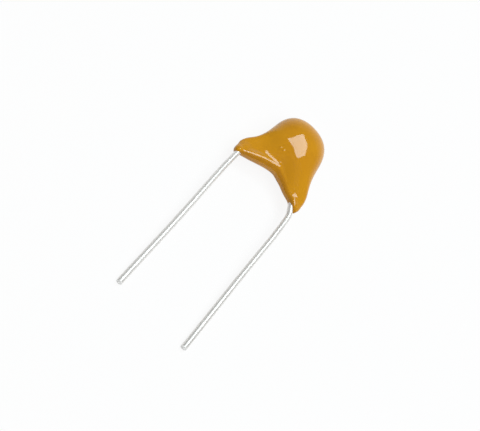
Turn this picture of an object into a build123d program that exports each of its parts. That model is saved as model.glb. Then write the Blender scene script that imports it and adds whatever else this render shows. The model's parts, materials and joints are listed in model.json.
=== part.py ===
import os
from math import atan2, cos, degrees, pi, radians, sin, tan

from build123d import *

# Wire leads.
lead_pitch = 5.08
wire_diameter = 0.38
lead_length = 12.5
bend_radius = 1.6
flare_angle = 32.0
kink_height = 0.12
cut_angle = 45.0

# Ceramic chip and its metal end caps.
chip_length = 2.0
chip_height = 1.25
chip_thickness = 1.25
chip_edge = 0.08
termination_width = 0.45
termination_wall = 0.05
chip_stand_off = 0.6

# Solder that joins each lead to its end cap.
solder_film = 0.03
solder_skin = 0.08
stem_drop = 0.12

# Epoxy coat, given as the cover that it leaves over what it wraps.
side_cover = 0.46
face_cover = 0.54
top_cover = 1.30
foot_cover = 0.11
tip_side_cover = 0.03
tip_face_cover = 0.06
web_cover = 0.23
arch_rise = 0.98
arch_foot = 0.05
arch_edge_radius = 0.36
arch_edge_overrun = 0.06
dome_askew = 0.13

# Places along the axis, with the feet of the coat at height zero and the leads below.
wire_radius = wire_diameter / 2
lead_x = lead_pitch / 2
cap_x = chip_length / 2 + termination_wall
stem_x = cap_x + solder_film + wire_radius
flare_height = (lead_x - stem_x) / tan(radians(flare_angle))
bend_tangent = bend_radius * tan(radians(flare_angle) / 2)
stem_start = kink_height + flare_height + bend_tangent
chip_level = stem_start + chip_stand_off + chip_height / 2
coat_height = chip_level + chip_height / 2 + top_cover

# Half sizes of the coat at the tips of its feet, at its feet and web, and at its dome.
tip_half = lead_x + wire_radius + tip_side_cover
tip_thin = wire_radius + tip_face_cover
foot_half = lead_x + wire_radius + foot_cover
web_half = wire_radius + web_cover
dome_half = stem_x + wire_radius + side_cover
belly_half = chip_thickness / 2 + termination_wall + face_cover

# Skirt rows: height as a share of the chip level, how far the width and the thickness have
# gone from the foot to the dome, and the share of the askew set of the dome.
skirt_shares = (
    (0.089, 0.09, -0.16, 0.0),
    (0.215, 0.01, -0.13, 0.0),
    (0.367, 0.17, -0.05, 0.4),
    (0.470, 0.39, 0.18, 0.8),
    (0.600, 0.62, 0.54, 1.0),
    (0.747, 0.795, 0.82, 1.0),
    (1.0, 1.0, 1.0, 1.0),
)
# Dome rows: height as a share of the rise above the chip level, and the width and thickness left.
dome_shares = (
    (0.28, 0.950, 0.973),
    (0.60, 0.840, 0.861),
    (0.83, 0.640, 0.656),
    (0.955, 0.360, 0.369),
)
# Squareness of a section: 2 is an ellipse, more is nearer to a rounded rectangle.
tip_squareness = 6.0
skirt_squareness = (4.4, 3.4, 2.6, 2.3, 2.2, 2.2, 2.2)
dome_squareness = 2.3
section_steps = 20
settling_passes = 6


# One closed section across the axis, between an ellipse and a rounded rectangle.
def section(height, half_width, half_thickness, squareness, askew):
    power = 2 / squareness
    points = []
    for step in range(section_steps):
        turn = 2 * pi * step / section_steps
        across = cos(turn)
        through = sin(turn)
        x = askew + half_width * abs(across) ** power * (1 if across > 0 else -1)
        z = half_thickness * abs(through) ** power * (1 if through > 0 else -1)
        points.append(Vector(x, height, z))
    spacing = [step / section_steps for step in range(section_steps + 1)]
    return Wire([Edge.make_spline(points, periodic=True, parameters=spacing)])


# Bell of the coat: a smooth skin over the sections, closed at the top of the dome.
def bell():
    rows = [section(0, tip_half, tip_thin, tip_squareness, 0)]
    for (height, width_gone, thickness_gone, askew), squareness in zip(skirt_shares, skirt_squareness):
        half_width = foot_half + (dome_half - foot_half) * width_gone
        half_thickness = web_half + (belly_half - web_half) * thickness_gone
        level = chip_level * height
        rows.append(section(level, half_width, half_thickness, squareness, dome_askew * askew))
    for height, width, depth in dome_shares:
        level = chip_level + (coat_height - chip_level) * height
        rows.append(section(level, dome_half * width, belly_half * depth, dome_squareness, dome_askew))
    rows.append(Vertex(dome_askew, coat_height, 0))
    return Solid.make_loft(rows)


# Arch between the feet: a spool through the inner side of each lead, whose flared rims
# leave the front and back edges of the web rounded.
def arch_spool():
    drop = arch_rise - arch_foot
    reach = lead_x - wire_radius
    arch_radius = (reach**2 + drop**2) / (2 * drop)
    rim = arch_radius + arch_edge_radius
    end = web_half + arch_edge_overrun
    flat = end - arch_edge_radius
    profile = [
        Line((0, -end), (rim, -end)),
        CenterArc((rim, -flat), arch_edge_radius, 180, 90),
        Line((arch_radius, -flat), (arch_radius, flat)),
        CenterArc((rim, flat), arch_edge_radius, 90, 90),
        Line((rim, end), (0, end)),
        Line((0, end), (0, -end)),
    ]
    face = Plane.XZ * make_face(profile)
    return Pos(0, arch_rise - arch_radius, 0) * revolve(face, axis=Axis.Z)


# Chip with its edges broken, and the cup of metal that wraps its right-hand end.
def chip_block(grow):
    block = Box(chip_length + 2 * grow, chip_height + 2 * grow, chip_thickness + 2 * grow)
    return Pos(0, chip_level, 0) * chamfer(block.edges(), chip_edge + grow)


def termination(chip):
    inner_end = Plane((chip_length / 2 - termination_width, 0, 0), z_dir=(1, 0, 0))
    return split(chip_block(termination_wall), bisect_by=inner_end, keep=Keep.TOP) - chip


# Right-hand lead: stem beside the end cap, flare, straight run and sheared end.
def lead():
    route = FilletPolyline(
        (stem_x, chip_level + chip_height / 2 - stem_drop, 0),
        (stem_x, kink_height + flare_height, 0),
        (lead_x, kink_height, 0),
        (lead_x, -lead_length, 0),
        radius=bend_radius,
    )
    wire = sweep(Plane(route @ 0, z_dir=route % 0) * Circle(wire_radius), path=route)
    shear = radians(cut_angle)
    blade = Plane((lead_x, -lead_length, -wire_radius), x_dir=(1, 0, 0), z_dir=(0, -sin(shear), cos(shear)))
    return split(wire, bisect_by=blade, keep=Keep.BOTTOM)


# Solder: a round bead on the face of the end cap that the stem of the lead runs through.
def solder(wire):
    bead_radius = stem_x + wire_radius + solder_skin - cap_x
    bead = Pos(cap_x, chip_level, 0) * Sphere(bead_radius)
    face = Plane((cap_x, 0, 0), z_dir=(1, 0, 0))
    return split(bead, bisect_by=face, keep=Keep.TOP) - wire


chip = chip_block(0)
right_termination = termination(chip)
right_lead = lead()
right_solder = solder(right_lead)
left_termination = mirror(right_termination, about=Plane.YZ)
left_lead = mirror(right_lead, about=Plane.YZ)
left_solder = mirror(right_solder, about=Plane.YZ)

coat = bell() - arch_spool()
for wrapped in (chip, right_termination, left_termination, right_solder, left_solder, right_lead, left_lead):
    coat = coat - wrapped

nodes = {
    "epoxy_coat": coat,
    "ceramic_chip": chip,
    "left_termination": left_termination,
    "right_termination": right_termination,
    "left_solder": left_solder,
    "right_solder": right_solder,
    "left_lead": left_lead,
    "right_lead": right_lead,
}


# Lying down: the belly of the coat and the cut ends of the leads touch the same floor.
def lowest(shape, lean):
    return (Rot(X=lean) * shape).bounding_box().min.Z


lean = 0.0
for settling in range(settling_passes):
    gap = lowest(coat, lean) - lowest(right_lead, lean)
    lean -= degrees(atan2(gap, chip_level + lead_length))

box = (Rot(X=lean) * Compound(list(nodes.values()))).bounding_box()
rest = Pos(0, -box.center().Y, -box.min.Z) * Rot(X=lean)

os.makedirs("parts", exist_ok=True)
for name, shape in nodes.items():
    export_step(rest * shape, f"parts/{name}.step")
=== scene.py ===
# %% [markdown]
# # A dipped ceramic capacitor on a white table
# The real part is a tiny block of ceramic with a tinned wire soldered to each end. It was dipped
# in liquid epoxy, which ran down both wires and set as a glossy bell with an arch between its two
# feet. The measured model is packed already, so this lesson starts by loading it as a fixed frame
# and dresses it: nothing here changes its size.

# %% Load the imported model
import json
import math
import bpy
from mathutils import Matrix, Vector


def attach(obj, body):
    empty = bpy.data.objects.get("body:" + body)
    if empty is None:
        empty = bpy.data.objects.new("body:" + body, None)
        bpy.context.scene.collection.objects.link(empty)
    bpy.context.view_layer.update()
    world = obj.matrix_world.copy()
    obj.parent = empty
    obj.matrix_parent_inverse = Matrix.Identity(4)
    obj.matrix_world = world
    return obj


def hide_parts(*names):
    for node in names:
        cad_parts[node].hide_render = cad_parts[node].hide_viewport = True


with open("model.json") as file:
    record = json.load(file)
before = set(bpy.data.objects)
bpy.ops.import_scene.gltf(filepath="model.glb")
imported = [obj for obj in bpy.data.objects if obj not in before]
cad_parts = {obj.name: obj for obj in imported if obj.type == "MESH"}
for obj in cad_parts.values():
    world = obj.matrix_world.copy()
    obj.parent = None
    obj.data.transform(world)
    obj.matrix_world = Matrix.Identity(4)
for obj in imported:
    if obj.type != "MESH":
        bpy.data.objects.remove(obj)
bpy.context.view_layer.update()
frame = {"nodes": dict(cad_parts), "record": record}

# %% [markdown]
# ## Measures
# The part lies on the table, leaning a little because its coat is thicker than its wires. It is
# far easier to model it standing upright, in millimetres, with the feet of the coat at height zero
# and the wires hanging down. So the first cell reads where the feet are and which way the wires run
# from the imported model, and every piece is stood, shaped and then laid down into that place.

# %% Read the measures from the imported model
MM = 0.001
pin = next(m for m in frame["record"]["mounts"] if m["name"] == "right_lead_pin")
to_dome = -Vector(pin["axis"])
to_front = Vector((0.0, -to_dome.z, to_dome.y))
lean = math.atan2(to_dome.z, to_dome.y)
wire_radius = pin["dims"]["r_mm"]
lead_x = pin["pos_m"][0] / MM

coat_points = [v.co for v in frame["nodes"]["epoxy_coat"].data.vertices]
lead_points = [v.co for v in frame["nodes"]["right_lead"].data.vertices]
feet_level = min(p.dot(to_dome) for p in coat_points)
pin_middle = Vector((0.0, pin["pos_m"][1], pin["pos_m"][2]))
feet_centre = pin_middle + to_dome * (feet_level - pin_middle.dot(to_dome))

coat_height = (max(p.dot(to_dome) for p in coat_points) - feet_level) / MM
foot_half = max(p.x for p in coat_points) / MM
belly_half = max((p - feet_centre).dot(to_front) for p in coat_points) / MM
lead_length = (feet_level - min(p.dot(to_dome) for p in lead_points)) / MM
stem_top = (max(p.dot(to_dome) for p in lead_points) - feet_level) / MM
stem_x = min(p.x for p in lead_points) / MM + wire_radius
print(f"coat, mm: {coat_height:.2f} high, half foot {foot_half:.2f}, half belly {belly_half:.2f}")
print(f"lead, mm: {lead_length:.2f} long at x {lead_x:.2f}")
print(f"stem, mm: up to {stem_top:.2f} at x {stem_x:.2f}")

# %% [markdown]
# ## Selection and modifiers
# Operators act on whatever is selected, and loading the frame leaves its nodes selected, so every
# piece starts from an empty selection. A modifier could stay live on a piece, but here each one is
# applied as soon as it is set, so that the next step works on the real mesh.

# %% Helpers for selection and modifiers
def start_clean():
    if bpy.context.object and bpy.context.object.mode != "OBJECT":
        bpy.ops.object.mode_set(mode="OBJECT")
    bpy.ops.object.select_all(action="DESELECT")


def take(piece):
    start_clean()
    bpy.context.view_layer.objects.active = piece
    piece.select_set(True)


def finish_modifier(piece, kind, **settings):
    take(piece)
    modifier = piece.modifiers.new(kind.lower(), kind)
    for setting, value in settings.items():
        setattr(modifier, setting, value)
    bpy.ops.object.modifier_apply(modifier=modifier.name)


print("selected after loading:", len(bpy.context.selected_objects), "objects")

# %% [markdown]
# ## The epoxy bell
# A dipped coat is a drop that set while it hung: round over the chip, pinched to a thin web below
# it, with a foot round each wire. It could be sculpted, but every level of it is a softened
# rectangle, so one rounded square, pulled up row by row and resized at each row, gives the whole
# bell from a few numbers. A row is a height, a width and a thickness, as shares of the measured
# height, foot and belly. Its last number shifts it sideways by millimetres, because the real drop
# set a little crooked.

# %% Pull the bell up from its feet
corner_round = 0.94
corner_steps = 7
bell_rows = (
    (0.000, 0.900, 0.204, -0.05),
    (0.026, 0.925, 0.245, -0.05),
    (0.060, 0.965, 0.306, -0.03),
    (0.100, 0.995, 0.377, -0.02),
    (0.143, 1.030, 0.449, -0.03),
    (0.244, 0.975, 0.612, 0.01),
    (0.300, 0.902, 0.704, 0.06),
    (0.362, 0.822, 0.791, 0.11),
    (0.497, 0.738, 0.898, 0.13),
    (0.666, 0.695, 1.020, 0.13),
    (0.770, 0.665, 0.989, 0.13),
    (0.875, 0.587, 0.877, 0.14),
    (0.955, 0.448, 0.653, 0.16),
    (1.000, 0.235, 0.316, 0.17),
)


def pull(across, up):
    bpy.ops.mesh.extrude_region_move(TRANSFORM_OT_translate={"value": (across, 0.0, up)})


start_clean()
bpy.ops.mesh.primitive_plane_add(size=2.0)
coat = bpy.context.object
coat.name = "epoxy_bell"
bpy.ops.object.mode_set(mode="EDIT")
bpy.ops.mesh.bevel(offset=corner_round, segments=corner_steps, affect="VERTICES")
height, width, thickness, askew = 0.0, 1.0 / foot_half, 1.0 / belly_half, 0.0
for new_height, new_width, new_thickness, new_askew in bell_rows:
    rise = (new_height - height) * coat_height
    if rise > 0.0:
        pull(0.0, rise)
    grown = (new_width / width, new_thickness / thickness, 1.0)
    centre = (askew, 0.0, new_height * coat_height)
    bpy.ops.transform.resize(value=grown, center_override=centre)
    bpy.ops.transform.translate(value=(new_askew - askew, 0.0, 0.0))
    height, width, thickness, askew = new_height, new_width, new_thickness, new_askew
print("rows pulled up:", len(bell_rows))

# %% [markdown]
# Pulling leaves the square that it started from open. Every open edge is found as non-manifold and
# closed with a face, and the faces are turned outwards. Subdivision then rounds the rows into one
# smooth drop.

# %% Close the bell and round it
round_levels = 2


def close_openings():
    bpy.ops.mesh.select_all(action="DESELECT")
    bpy.ops.mesh.select_mode(type="EDGE")
    bpy.ops.mesh.select_non_manifold()
    bpy.ops.mesh.edge_face_add()
    bpy.ops.mesh.select_all(action="SELECT")
    bpy.ops.mesh.normals_make_consistent(inside=False)
    bpy.ops.object.mode_set(mode="OBJECT")


close_openings()
finish_modifier(coat, "SUBSURF", levels=round_levels, render_levels=round_levels)
print("bell:", len(coat.data.polygons), "faces,", [round(s, 2) for s in coat.dimensions], "mm")

# %% [markdown]
# ## The arch between the feet
# Liquid epoxy draws itself up between two wires and hangs there in an arch. A Boolean could cut the
# arch out of the bell, but it would leave a sharp edge and slice the skirt at its full thickness.
# A lattice is kinder: it is a cage of points round the bell, and where a point of the cage moves,
# the bell bends with it. The lower edge is lifted to the line of the arch, which is round on the
# left and nearly straight on the right, and the lift fades out half way up the bell.

# %% Say how far each place is lifted
rim_left = Vector((-lead_x + 0.12, 0.0, 0.12))
rim_crown = Vector((0.12, 0.0, 1.42))
rim_right = Vector((lead_x - 0.20, 0.0, 0.34))
left_power, right_power = 2.0, 1.2
still_level = 2.9


def arch_lift(x, z):
    foot, power = (rim_left, left_power) if x < rim_crown.x else (rim_right, right_power)
    along = (x - rim_crown.x) / (foot.x - rim_crown.x)
    edge = rim_crown.z - (rim_crown.z - foot.z) * along**power
    return max(0.0, edge) * max(0.0, 1 - z / still_level)


arch_places = (rim_left.x, rim_crown.x, rim_right.x)
print("lower edge, mm:", [round(arch_lift(x, 0.0), 2) for x in arch_places])

# %% [markdown]
# The same cage sets how thick the skirt is, because no dip sets evenly. The left arm of the arch
# gets thinner away from the crown. Four soft swells fatten or slim the skirt elsewhere. Each is a
# rounded hill: its place across and up, its reach across and up, and the share that it adds.

# %% Say how thick each place is
arm_start, arm_end, arm_thinning = 0.64, 1.75, 0.52
skirt_swells = (
    (0.50, 1.57, 0.70, 0.95, 0.09),
    (-0.60, 2.00, 0.50, 0.73, -0.05),
    (-1.40, 0.75, 0.40, 0.80, -0.04),
    (1.50, 0.90, 0.50, 0.60, 0.06),
)


def arm_thin(x, z):
    up = min(1.0, max(0.0, z / still_level))
    along = min(arm_end, max(arm_start, -x)) - arm_start
    return 1 - arm_thinning * along * math.sin(math.pi * up)


def swell(x, z):
    grown = 1.0
    for middle, level, across, tall, amount in skirt_swells:
        grown += amount * math.exp(-(((x - middle) / across) ** 2) - ((z - level) / tall) ** 2)
    return grown


skirt_shares = [arm_thin(x, rim_crown.z) * swell(x, rim_crown.z) for x in arch_places]
print("share of the thickness kept at the crown's level:", [round(s, 2) for s in skirt_shares])

# %% [markdown]
# Now the cage. It needs many points across and up, where the line of the arch turns, and only two
# through the thickness. It stands a little wider than the bell, so that none of the bell is left
# outside. Before it is scaled, a cage is one unit across, with its points from -0.5 to 0.5.

# %% Bend the bell with the cage
cage_points = (17, 2, 13)
cage_across, cage_through = 2.2, 2.4
cage_size = Vector((cage_across * foot_half, cage_through * belly_half, coat_height))
start_clean()
bpy.ops.object.add(type="LATTICE", location=(0.0, 0.0, coat_height / 2))
cage = bpy.context.object
cage.scale = cage_size
cage.data.points_u, cage.data.points_v, cage.data.points_w = cage_points
for point in cage.data.points:
    x, z = point.co.x * cage_size.x, (point.co.z + 0.5) * coat_height
    point.co_deform.z += arch_lift(x, z) / coat_height
    point.co_deform.y *= arm_thin(x, z) * swell(x, z)
for way in ("u", "v", "w"):
    setattr(cage.data, "interpolation_type_" + way, "KEY_CARDINAL")
bpy.context.view_layer.update()
finish_modifier(coat, "LATTICE", object=cage)
bpy.data.objects.remove(cage)
print("arch lifted, bell now", [round(c, 2) for c in coat.dimensions], "mm")

# %% [markdown]
# ## The rolled rim
# The drop was fattest along the edge of the arch, and it set there as a rolled rim. Its line is a
# slightly pointed arch: a long flat arc up from each foot and a tight one over the crown. The feet
# and the crown are known, so the radius and the turn of each arc follow from them.

# %% Work out the three arcs of the rim
crown_bend_radius = 1.6
crown_half_turn = math.radians(14.0)
crown_middle = rim_crown - Vector((0.0, 0.0, crown_bend_radius))


def side_arc(foot):
    run = abs(foot.x - rim_crown.x) - crown_bend_radius * math.sin(crown_half_turn)
    drop = rim_crown.z - foot.z - crown_bend_radius * (1 - math.cos(crown_half_turn))
    turn = 2 * (math.atan2(drop, run) - crown_half_turn)
    return turn, math.hypot(run, drop) / (2 * math.sin(turn / 2))


left_turn, left_radius = side_arc(rim_left)
right_turn, right_radius = side_arc(rim_right)
steepest = crown_half_turn + left_turn
left_middle = rim_left + Vector((math.sin(steepest), 0.0, -math.cos(steepest))) * left_radius
to_crown = Vector((math.sin(crown_half_turn), 0.0, math.cos(crown_half_turn)))
right_middle = crown_middle + to_crown * (crown_bend_radius - right_radius)
rim_arcs = (
    (left_middle, left_turn), (crown_middle, 2 * crown_half_turn), (right_middle, right_turn),
)
print("rim arcs, mm:", [round(r, 2) for r in (left_radius, crown_bend_radius, right_radius)])

# %% [markdown]
# The rim isn't a plain tube. It is round and full on the left and over the crown, and flatter,
# lower and set back on the right, where the real one sinks into the coat. A list of stations says
# so. Each is a share of the way along, half the height and half the thickness of the rim there, how
# far it is set back and how far it is sunk.

# %% Say how thick the rim is along its way
rim_stations = (
    (0.00, 0.12, 0.24, 0.00, 0.00),
    (0.06, 0.25, 0.34, 0.00, 0.02),
    (0.12, 0.33, 0.38, 0.00, 0.06),
    (0.20, 0.39, 0.41, 0.00, 0.06),
    (0.33, 0.42, 0.43, 0.00, 0.01),
    (0.45, 0.42, 0.42, 0.00, 0.00),
    (0.55, 0.38, 0.40, 0.03, 0.01),
    (0.67, 0.28, 0.35, 0.07, 0.15),
    (0.76, 0.21, 0.31, 0.08, 0.22),
    (0.84, 0.20, 0.29, 0.08, 0.25),
    (0.92, 0.18, 0.27, 0.06, 0.15),
    (1.00, 0.16, 0.23, 0.00, 0.00),
)


def rim_at(share):
    for before, after in zip(rim_stations, rim_stations[1:]):
        if share <= after[0]:
            part = (share - before[0]) / (after[0] - before[0])
            return [low + (high - low) * part for low, high in zip(before[1:], after[1:])]
    return list(rim_stations[-1][1:])


print("rim half way along, mm:", [round(c, 2) for c in rim_at(0.5)])

# %% [markdown]
# A curve with a bevel could follow the arcs, but it stays round all along. A disc can be resized
# and shifted at every step, so a disc starts at the left foot and is spun along the arcs in small
# steps.

# %% Spin the rolled rim over the arch
arc_steps = 12
rim_sides = 32
weld_gap = 0.001
rim_height, rim_thickness, rim_back, rim_sunk = rim_at(0.0)
start_clean()
bpy.ops.mesh.primitive_circle_add(
    vertices=rim_sides, radius=1.0, fill_type="NGON",
    location=rim_left, rotation=(0.0, math.pi / 2 - steepest, 0.0),
)
rim = bpy.context.object
rim.scale = (rim_height, rim_thickness, 1.0)
bpy.ops.object.transform_apply(location=True, rotation=True, scale=True)
bpy.ops.object.mode_set(mode="EDIT")
place = rim_left.copy()
for arc, (middle, turn) in enumerate(rim_arcs):
    step_turn = turn / arc_steps
    for step in range(1, arc_steps + 1):
        bpy.ops.mesh.spin(steps=1, angle=-step_turn, center=middle, axis=(0.0, 1.0, 0.0))
        place = middle + Matrix.Rotation(step_turn, 3, "Y") @ (place - middle)
        station = rim_at((arc + step / arc_steps) / len(rim_arcs))
        grow, widen = station[0] / rim_height, station[1] / rim_thickness
        bpy.ops.transform.resize(value=(grow, widen, grow), center_override=place)
        shift = Vector((0.0, station[2] - rim_back, rim_sunk - station[3]))
        bpy.ops.transform.translate(value=shift)
        place = place + shift
        rim_height, rim_thickness, rim_back, rim_sunk = station
bpy.ops.mesh.select_all(action="SELECT")
bpy.ops.mesh.remove_doubles(threshold=weld_gap)
close_openings()
print("rim ends at", [round(c, 2) for c in place], "for", [round(c, 2) for c in rim_right])

# %% [markdown]
# ## Drops round the wires
# Epoxy wets tin, so it runs a little way down each wire and thins to nothing. Two stretched balls
# stand for it at each foot: one leans along the arm of the arch, and one sits round the wire. Each
# has a middle, three half sizes and a turn in degrees.

# %% Add the drops of the feet
drop_segments, drop_rings = 48, 24
foot_drops = (
    ((-lead_x + 0.23, 0.0, 0.64), (0.44, 0.25, 0.80), 32.0),
    ((-lead_x, 0.0, 0.22), (0.31, 0.34, 0.36), 0.0),
    ((lead_x - 0.35, 0.0, 0.50), (0.30, 0.34, 0.78), -40.0),
    ((lead_x - 0.05, 0.0, 0.50), (0.37, 0.22, 0.60), 0.0),
)
melt = [rim]
for middle, halves, turn in foot_drops:
    start_clean()
    bpy.ops.mesh.primitive_uv_sphere_add(
        segments=drop_segments, ring_count=drop_rings, radius=1.0, location=middle,
    )
    drop = bpy.context.object
    drop.scale = halves
    drop.rotation_euler = (0.0, math.radians(turn), 0.0)
    melt.append(drop)
print(len(foot_drops), "drops")

# %% [markdown]
# Bell, rim and drops overlap, and the real coat is one skin. A Boolean union would keep a crease at
# every meeting line. A voxel remesh melts the shapes into one skin instead, and smoothing then
# rounds every meeting line, as surface tension does.

# %% Melt everything into one skin
skin_voxel = 0.04
smooth_share, smooth_passes = 0.5, 130


def triangles(piece):
    return sum(len(face.vertices) - 2 for face in piece.data.polygons)


take(coat)
for lump in melt:
    lump.select_set(True)
bpy.ops.object.join()
bpy.ops.object.transform_apply(location=True, rotation=True, scale=True)
finish_modifier(coat, "REMESH", mode="VOXEL", voxel_size=skin_voxel)
finish_modifier(coat, "SMOOTH", factor=smooth_share, iterations=smooth_passes)
take(coat)
bpy.ops.object.shade_smooth()
print("melted coat:", triangles(coat), "triangles,", [round(s, 2) for s in coat.dimensions], "mm")

# %% [markdown]
# A speck of grit under the skin of a dip leaves a tiny pimple that catches the light. A bump
# texture would scatter them anywhere, and here each has its place. So a single point of the skin is
# pulled outwards, with the points round it following in a soft falloff.

# %% Pull up a few pimples
grit_spots = ((-0.76, 2.28), (-0.50, 2.24), (-0.10, 1.62))
grit_height = 0.035
grit_reach = 0.11
for across, level in grit_spots:
    take(coat)
    bpy.ops.object.mode_set(mode="EDIT")
    bpy.ops.mesh.select_mode(type="VERT")
    bpy.ops.mesh.select_all(action="DESELECT")
    bpy.ops.object.mode_set(mode="OBJECT")
    front = [v for v in coat.data.vertices if v.co.y < 0.0]
    spot = min(front, key=lambda v: math.hypot(v.co.x - across, v.co.z - level))
    spot.select = True
    outwards = spot.normal * grit_height
    bpy.ops.object.mode_set(mode="EDIT")
    bpy.ops.transform.translate(
        value=outwards, use_proportional_edit=True, proportional_edit_falloff="SMOOTH",
        proportional_size=grit_reach,
    )
    bpy.ops.object.mode_set(mode="OBJECT")
print(len(grit_spots), "pimples")

# %% [markdown]
# The skin below the rim, where it turns down towards the wires, gets painted shade: its colour is
# made darker by how far it faces down. How much is kept on the coat as an attribute of its points,
# for the finish to read. It is full just below the rim, and less again at the thin lower edge. Each
# pair here is how far the skin has turned down, from 0 to 1, and how much painted shade it gets.

# %% Mark the painted shade below the rim
# Painted shade: how far the skin turns down, and how dark it is painted there.
shade_turns = ((0.10, 0.0), (0.42, 1.0), (0.68, 1.0), (0.95, 0.25))
shade_blend = 0.15


def shade_share(turned):
    if turned <= shade_turns[0][0]:
        return shade_turns[0][1]
    for (low, share_low), (high, share_high) in zip(shade_turns, shade_turns[1:]):
        if turned <= high:
            return share_low + (share_high - share_low) * (turned - low) / (high - low)
    return shade_turns[-1][1]


# This attribute holds the painted shade, for the epoxy finish to read.
painted_shade = coat.data.attributes.new("painted_shade", "FLOAT", "POINT")
for point, mark in zip(coat.data.vertices, painted_shade.data):
    below = 0.5 + (arch_lift(point.co.x, 0.0) - point.co.z) / shade_blend
    mark.value = shade_share(-point.normal.z) * min(1.0, max(0.0, below))
print("pooled points:", sum(mark.value > 0.5 for mark in painted_shade.data))

# %% [markdown]
# ## The wire leads
# Each lead is tinned wire that comes down beside the chip, flares out to the pitch of the board
# holes, and straightens. A curve with a round bevel could give it, but pulling and spinning a disc
# keeps every bend at its true radius: the disc is pulled down, spun round the centre of each bend,
# and pulled on between.

# %% Bend a wire out to the board pitch
wire_sides = 32
bend_steps = 14
bend_radius = 1.6


def bend(angle, centre_x, level):
    bpy.ops.mesh.spin(
        steps=bend_steps, angle=angle, axis=(0.0, 1.0, 0.0), center=(centre_x, 0.0, level),
    )


def flared_wire(name, side, flare, straight_top, inset):
    sideways = bend_radius * (1 - math.cos(flare))
    drop = bend_radius * math.sin(flare)
    flare_side = lead_x - inset - stem_x - 2 * sideways
    flare_drop = flare_side / math.tan(flare)
    bend_start = straight_top + 2 * drop + flare_drop
    start_clean()
    bpy.ops.mesh.primitive_circle_add(
        vertices=wire_sides, radius=wire_radius, fill_type="NGON",
        location=(side * stem_x, 0.0, stem_top),
    )
    lead = bpy.context.object
    lead.name = name
    bpy.ops.object.transform_apply(location=True, rotation=True, scale=True)
    bpy.ops.object.mode_set(mode="EDIT")
    pull(0.0, bend_start - stem_top)
    bend(side * flare, side * (stem_x + bend_radius), bend_start)
    pull(side * flare_side, -flare_drop)
    bend(-side * flare, side * (lead_x - inset - bend_radius), straight_top)
    return lead


print(f"wire {2 * wire_radius:.2f} mm thick, bent round {bend_radius:.2f} mm")

# %% [markdown]
# No real wire is quite straight, so the long run is pulled on in short runs that follow a slight
# bow. The cutter took it off square, and its blades rolled the edge over a little, which a bevel
# gives. The edge to roll is found by its place, after everything else is deselected.

# %% Pull the long run on and cut it
tip_trim = 0.14
tip_level = tip_trim - lead_length
burr_round = 0.035
burr_steps = 3
smooth_angle = math.radians(30.0)


def long_run(side, level, inset, bow):
    for new_level, new_inset in (*bow, (tip_level, 0.0)):
        pull(side * (inset - new_inset), new_level - level)
        level, inset = new_level, new_inset


def square_cut(lead):
    bpy.ops.mesh.select_all(action="SELECT")
    bpy.ops.mesh.remove_doubles(threshold=weld_gap)
    close_openings()
    bpy.ops.object.mode_set(mode="EDIT")
    bpy.ops.mesh.select_all(action="DESELECT")
    bpy.ops.object.mode_set(mode="OBJECT")
    low = [v.co.z < tip_level + burr_round for v in lead.data.vertices]
    for edge in lead.data.edges:
        edge.select = all(low[v] for v in edge.vertices)
    bpy.ops.object.mode_set(mode="EDIT")
    bpy.ops.mesh.bevel(offset=burr_round, segments=burr_steps, affect="EDGES")
    bpy.ops.object.mode_set(mode="OBJECT")
    bpy.ops.object.shade_smooth_by_angle(angle=smooth_angle)


print(f"wires are cut at {tip_level:.2f} mm")

# %% [markdown]
# The two wires weren't bent alike. The left one is straight from where it leaves the coat, and the
# right one still flares a little below it. A bow is a list of levels, each with how far the wire
# stands in from its pitch there.

# %% Make the two leads
right_bow = ((-1.5, -0.03), (-2.6, -0.045), (-4.0, -0.025), (-6.5, 0.0))
left_bow = (
    (-0.6, 0.06), (-1.5, 0.035), (-3.0, 0.035), (-5.0, 0.055), (-7.0, 0.06), (-9.0, 0.04),
    (-11.0, 0.01),
)


def bent_lead(name, side, flare, straight_top, inset, bow):
    lead = flared_wire(name, side, math.radians(flare), straight_top, inset)
    long_run(side, straight_top, inset, bow)
    square_cut(lead)
    low = min(v.co.z for v in lead.data.vertices)
    print(f"{name}: {triangles(lead)} triangles, tip at {low:.2f} mm")
    return lead


right_lead = bent_lead(
    "right_wire_lead", side=1, flare=24.0, straight_top=-0.80, inset=0.0, bow=right_bow,
)
left_lead = bent_lead(
    "left_wire_lead", side=-1, flare=32.0, straight_top=-0.12, inset=0.08, bow=left_bow,
)

# %% [markdown]
# ## Lay the pieces down
# Now the standing pieces are laid on their backs where the imported model lies: shrunk from
# millimetres to metres, tipped over and moved to the feet, with all of that applied to the mesh.
# Each one says which imported node it stands for, and all of them ride on the one body.

# %% Lay down and ride
def lay_down(piece):
    take(piece)
    piece.scale = (MM, MM, MM)
    piece.rotation_euler = (lean - math.pi / 2, 0.0, 0.0)
    piece.location = feet_centre
    bpy.ops.object.transform_apply(location=True, rotation=True, scale=True)


for piece, node, slot in (
    (coat, "epoxy_coat", "coat"),
    (right_lead, "right_lead", "lead"),
    (left_lead, "left_lead", "lead"),
):
    lay_down(piece)
    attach(piece, "root")
    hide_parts(node)
    print(piece.name, "stands for", node)

# %% [markdown]
# ## Finishes
# The finishes are node materials on Object coordinates, which are metres here, so a texture scale
# of 1000 is a pattern about a millimetre across. A noise can be drawn out along one way by its
# grain size, and tilted to follow a piece that leans.

# %% Small helpers for node materials
def new_finish(name):
    material = bpy.data.materials.new(name)
    material.use_nodes = True
    nodes = material.node_tree.nodes
    return material, nodes, material.node_tree.links, nodes["Principled BSDF"]


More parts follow.
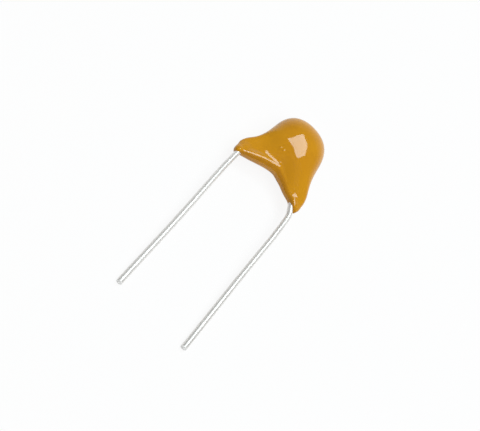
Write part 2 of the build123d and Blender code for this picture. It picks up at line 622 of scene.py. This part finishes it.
def noise(nodes, links, scale, detail, grain_size=(1.0, 1.0, 1.0), tilt=0.0):
    coordinates = nodes.new("ShaderNodeTexCoord")
    mapping = nodes.new("ShaderNodeMapping")
    mapping.vector_type = "TEXTURE"
    mapping.inputs["Rotation"].default_value = (tilt, 0.0, 0.0)
    mapping.inputs["Scale"].default_value = grain_size
    texture = nodes.new("ShaderNodeTexNoise")
    texture.inputs["Scale"].default_value = scale
    texture.inputs["Detail"].default_value = detail
    links.new(coordinates.outputs["Object"], mapping.inputs["Vector"])
    links.new(mapping.outputs["Vector"], texture.inputs["Vector"])
    return texture.outputs["Fac"]


def ramp(nodes, links, factor, stops):
    node = nodes.new("ShaderNodeValToRGB")
    elements = node.color_ramp.elements
    while len(elements) < len(stops):
        elements.new(0.5)
    for element, (place, colour) in zip(elements, stops):
        element.position = place
        element.color = (*colour, 1.0)
    links.new(factor, node.inputs["Fac"])
    return node.outputs["Color"]


def bump(nodes, links, height, strength, distance):
    node = nodes.new("ShaderNodeBump")
    node.inputs["Strength"].default_value = strength
    node.inputs["Distance"].default_value = distance
    links.new(height, node.inputs["Height"])
    return node.outputs["Normal"]


print(len(frame["nodes"]), "pieces to finish")

# %% [markdown]
# ### Dipped epoxy
# Mustard epoxy is a filled resin with a wet gloss. Its colour drifts a little over the coat, and
# the skin has the soft waviness of a dip that set unpolished. Below the rim, where the skin turns
# down, the colour is multiplied by a deeper, redder one as painted shade, by as much as the attribute
# of the coat says.

# %% Epoxy finish
lighter_resin, darker_resin = (0.62, 0.275, 0.004), (0.54, 0.225, 0.003)
# The deeper tint is painted shade for the skin below the rim.
shade_tint = (0.76, 0.72, 1.0, 1.0)
epoxy, nodes, links, shader = new_finish("dipped_epoxy")
drift = noise(nodes, links, scale=420.0, detail=3.0)
tone = ramp(nodes, links, drift, ((0.25, darker_resin), (0.75, lighter_resin)))
# This node reads the painted shade from the coat and multiplies the tint in.
shade_attribute = nodes.new("ShaderNodeAttribute")
shade_attribute.attribute_name = "painted_shade"
shade_multiply = nodes.new("ShaderNodeMix")
shade_multiply.data_type = "RGBA"
shade_multiply.blend_type = "MULTIPLY"
shade_multiply.inputs["B"].default_value = shade_tint
links.new(shade_attribute.outputs["Fac"], shade_multiply.inputs["Factor"])
links.new(tone, shade_multiply.inputs["A"])
links.new(shade_multiply.outputs["Result"], shader.inputs["Base Color"])
shader.inputs["Roughness"].default_value = 0.07
shader.inputs["IOR"].default_value = 1.52
wave = noise(nodes, links, scale=900.0, detail=2.0)
waviness = bump(nodes, links, wave, strength=0.12, distance=0.08 * MM)
links.new(waviness, shader.inputs["Normal"])
coat.data.materials.clear()
coat.data.materials.append(epoxy)
print("epoxy nodes:", len(nodes))

# %% [markdown]
# ### Tinned wire
# Tin leaves a bright, slightly soft metal with fine lines along the wire from the drawing die. The
# lines are a fine noise drawn out 75 times along the wire and tilted as the wire leans.

# %% Tinned finish
bright_tin, grey_tin = (0.90, 0.875, 0.845), (0.82, 0.79, 0.755)
line_size = (1.0, 75.0, 1.0)
tinned, nodes, links, shader = new_finish("tinned_wire")
lines = noise(nodes, links, scale=9000.0, detail=2.0, grain_size=line_size, tilt=lean)
tin_tone = ramp(nodes, links, lines, ((0.3, grey_tin), (0.7, bright_tin)))
links.new(tin_tone, shader.inputs["Base Color"])
shader.inputs["Metallic"].default_value = 0.5
shader.inputs["Roughness"].default_value = 0.36
die_lines = bump(nodes, links, lines, strength=0.03, distance=0.01 * MM)
links.new(die_lines, shader.inputs["Normal"])
for lead in (right_lead, left_lead):
    lead.data.materials.clear()
    lead.data.materials.append(tinned)
print("tinned nodes:", len(nodes))

# %% [markdown]
# ### Cut ends
# The cutter leaves a bare, dull face with a small rolled edge at the end of each wire, pale and
# finely torn. Its faces are found by their place: they are the only ones beyond the last straight
# run.

# %% Cut end finish
pale_cut, dull_cut = (0.97, 0.96, 0.94), (0.88, 0.86, 0.83)
tear_size = (1.0, 1.0, 5.0)
cut_end, nodes, links, shader = new_finish("cut_wire_end")
torn = noise(nodes, links, scale=9000.0, detail=4.0, grain_size=tear_size)
cut_tone = ramp(nodes, links, torn, ((0.3, dull_cut), (0.7, pale_cut)))
links.new(cut_tone, shader.inputs["Base Color"])
shader.inputs["Roughness"].default_value = 0.65
tears = bump(nodes, links, torn, strength=0.2, distance=0.01 * MM)
links.new(tears, shader.inputs["Normal"])
cut_level = feet_level + (tip_level + burr_round) * MM
for lead in (right_lead, left_lead):
    lead.data.materials.append(cut_end)
    for face in lead.data.polygons:
        if face.center.dot(to_dome) < cut_level:
            face.material_index = 1
    print(lead.name, "cut end:", sum(f.material_index for f in lead.data.polygons), "faces")

# %% [markdown]
# ### The pieces inside the coat
# The chip, its end caps and the solder are hidden in the epoxy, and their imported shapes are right
# as they are. They still get finishes of their own, so that a cut-open view shows what they are.
# Each has a dark and a light tone of grain, how metallic it is and how rough.

# %% Finishes of the hidden pieces
caps = ("left_termination", "right_termination")
beads = ("left_solder", "right_solder")
inside = {
    "fired_ceramic": (("ceramic_chip",), (0.30, 0.20, 0.13), (0.42, 0.30, 0.21), 0.0, 0.55),
    "fired_silver": (caps, (0.62, 0.61, 0.58), (0.74, 0.73, 0.70), 1.0, 0.45),
    "soft_solder": (beads, (0.52, 0.53, 0.55), (0.68, 0.69, 0.70), 1.0, 0.35),
}
for name, (members, dark, light, metal, rough) in inside.items():
    finish, nodes, links, shader = new_finish(name)
    grain = noise(nodes, links, scale=3000.0, detail=5.0)
    grain_tone = ramp(nodes, links, grain, ((0.3, dark), (0.7, light)))
    links.new(grain_tone, shader.inputs["Base Color"])
    shader.inputs["Metallic"].default_value = metal
    shader.inputs["Roughness"].default_value = rough
    grain_bump = bump(nodes, links, grain, strength=0.2, distance=0.01 * MM)
    links.new(grain_bump, shader.inputs["Normal"])
    for member in members:
        node_mesh = frame["nodes"][member].data
        node_mesh.materials.clear()
        node_mesh.materials.append(finish)
    print(name, "on", ", ".join(members))

# %% [markdown]
# ## Table
# The photograph is a packshot on white. More light would whiten the table, but it would bleach the
# epoxy too. So the table is pale grey to the light, and a glow of strength 1 makes most of it white
# to the camera and to glossy rays. What is left of the grey still carries a soft shadow.

# %% White table
table_grey = (0.8, 0.8, 0.8, 1.0)
white_share = 0.90
start_clean()
bpy.ops.mesh.primitive_plane_add(size=2.0)
table = bpy.context.object
table.name = "table"
white, nodes, links, shader = new_finish("white_table")
shader.inputs["Base Color"].default_value = table_grey
shader.inputs["Roughness"].default_value = 0.9
shader.inputs["Specular IOR Level"].default_value = 0.0
glow = nodes.new("ShaderNodeEmission")
blend = nodes.new("ShaderNodeMixShader")
path = nodes.new("ShaderNodeLightPath")
seen = nodes.new("ShaderNodeMath")
seen.operation = "MAXIMUM"
share = nodes.new("ShaderNodeMath")
share.operation = "MULTIPLY"
share.inputs[1].default_value = white_share
links.new(path.outputs["Is Camera Ray"], seen.inputs[0])
links.new(path.outputs["Is Glossy Ray"], seen.inputs[1])
links.new(seen.outputs[0], share.inputs[0])
links.new(share.outputs[0], blend.inputs[0])
links.new(shader.outputs[0], blend.inputs[1])
links.new(glow.outputs[0], blend.inputs[2])
links.new(blend.outputs[0], nodes["Material Output"].inputs["Surface"])
table.data.materials.append(white)
print("table", [round(s, 2) for s in table.dimensions], "m")

# %% [markdown]
# ## Light
# One softbox stands high over the far side, so the epoxy shows one square highlight and keeps its
# colour. It is turned about its own line to set the square as it lies in the photograph. A large
# fill from the near side lifts the shade, and glossy rays don't see it, so it adds no highlight.

# %% Softbox and fill
light_turn = math.radians(-29.0)
softbox_way = Vector((0.02, 0.36, 0.93)).normalized()
softbox_colour = (0.88, 1.0, 1.02)
fill_way = Vector((0.30, -0.36, 0.88)).normalized()


def area_light(name, way, distance, width, height, energy):
    start_clean()
    bpy.ops.object.light_add(type="AREA", location=way * distance)
    light = bpy.context.object
    light.name = name
    light.data.shape = "RECTANGLE"
    light.data.size = width
    light.data.size_y = height
    light.data.energy = energy
    facing = way.to_track_quat("Z", "Y").to_matrix().to_4x4()
    light.rotation_euler = (facing @ Matrix.Rotation(light_turn, 4, "Z")).to_euler()
    return light


softbox = area_light("softbox", softbox_way, distance=0.25, width=0.12, height=0.13, energy=0.29)
softbox.data.color = softbox_colour
fill = area_light("fill", fill_way, distance=0.40, width=0.30, height=0.30, energy=1.0)
fill.visible_glossy = False
print("softbox at", [round(c, 3) for c in softbox.location])

# %% [markdown]
# The room itself is dim, so that the highlight stays clear, and turns white only low on the far
# side, behind the table. The cosine of the angle to that side picks the tone.

# %% Room light
white_way = (0.0, 0.64, -0.77)
dim_room, white_room = (0.20, 0.20, 0.205), (1.0, 1.0, 1.0)
world = bpy.data.worlds.new("studio")
bpy.context.scene.world = world
world.use_nodes = True
nodes, links = world.node_tree.nodes, world.node_tree.links
coordinates = nodes.new("ShaderNodeTexCoord")
facing = nodes.new("ShaderNodeVectorMath")
facing.operation = "DOT_PRODUCT"
facing.inputs[1].default_value = white_way
links.new(coordinates.outputs["Generated"], facing.inputs[0])
sky = ramp(nodes, links, facing.outputs["Value"], ((0.0, dim_room), (0.6, white_room)))
links.new(sky, nodes["Background"].inputs["Color"])
nodes["Background"].inputs["Strength"].default_value = 1.0
bpy.context.scene.view_settings.view_transform = "Standard"
print("room from", dim_room, "to", white_room)

# %% [markdown]
# ## Camera
# The photograph looks down on the part from its wire end at about 48 degrees, with the camera
# rolled so that the part runs corner to corner. The camera is aimed at a point on the table, set
# back along its line of sight, and then rolled about it.

# %% Camera
camera_azimuth = math.radians(-12.46)
camera_elevation = math.radians(47.61)
camera_roll = math.radians(55.93)
camera_distance = 67.1 * MM
aim = Vector((0.336, 0.892, 0.0)) * MM
back = Vector((
    math.sin(camera_azimuth) * math.cos(camera_elevation),
    -math.cos(camera_azimuth) * math.cos(camera_elevation),
    math.sin(camera_elevation),
))
start_clean()
bpy.ops.object.camera_add(location=aim + back * camera_distance)
camera = bpy.context.object
camera.data.lens = 83.26
camera.data.sensor_width = 36.0
camera.data.clip_start = 0.001
upright = (-back).to_track_quat("-Z", "Y").to_matrix().to_4x4()
camera.rotation_euler = (upright @ Matrix.Rotation(camera_roll, 4, "Z")).to_euler()
bpy.context.scene.camera = camera
print("camera at", [round(c, 4) for c in camera.location])
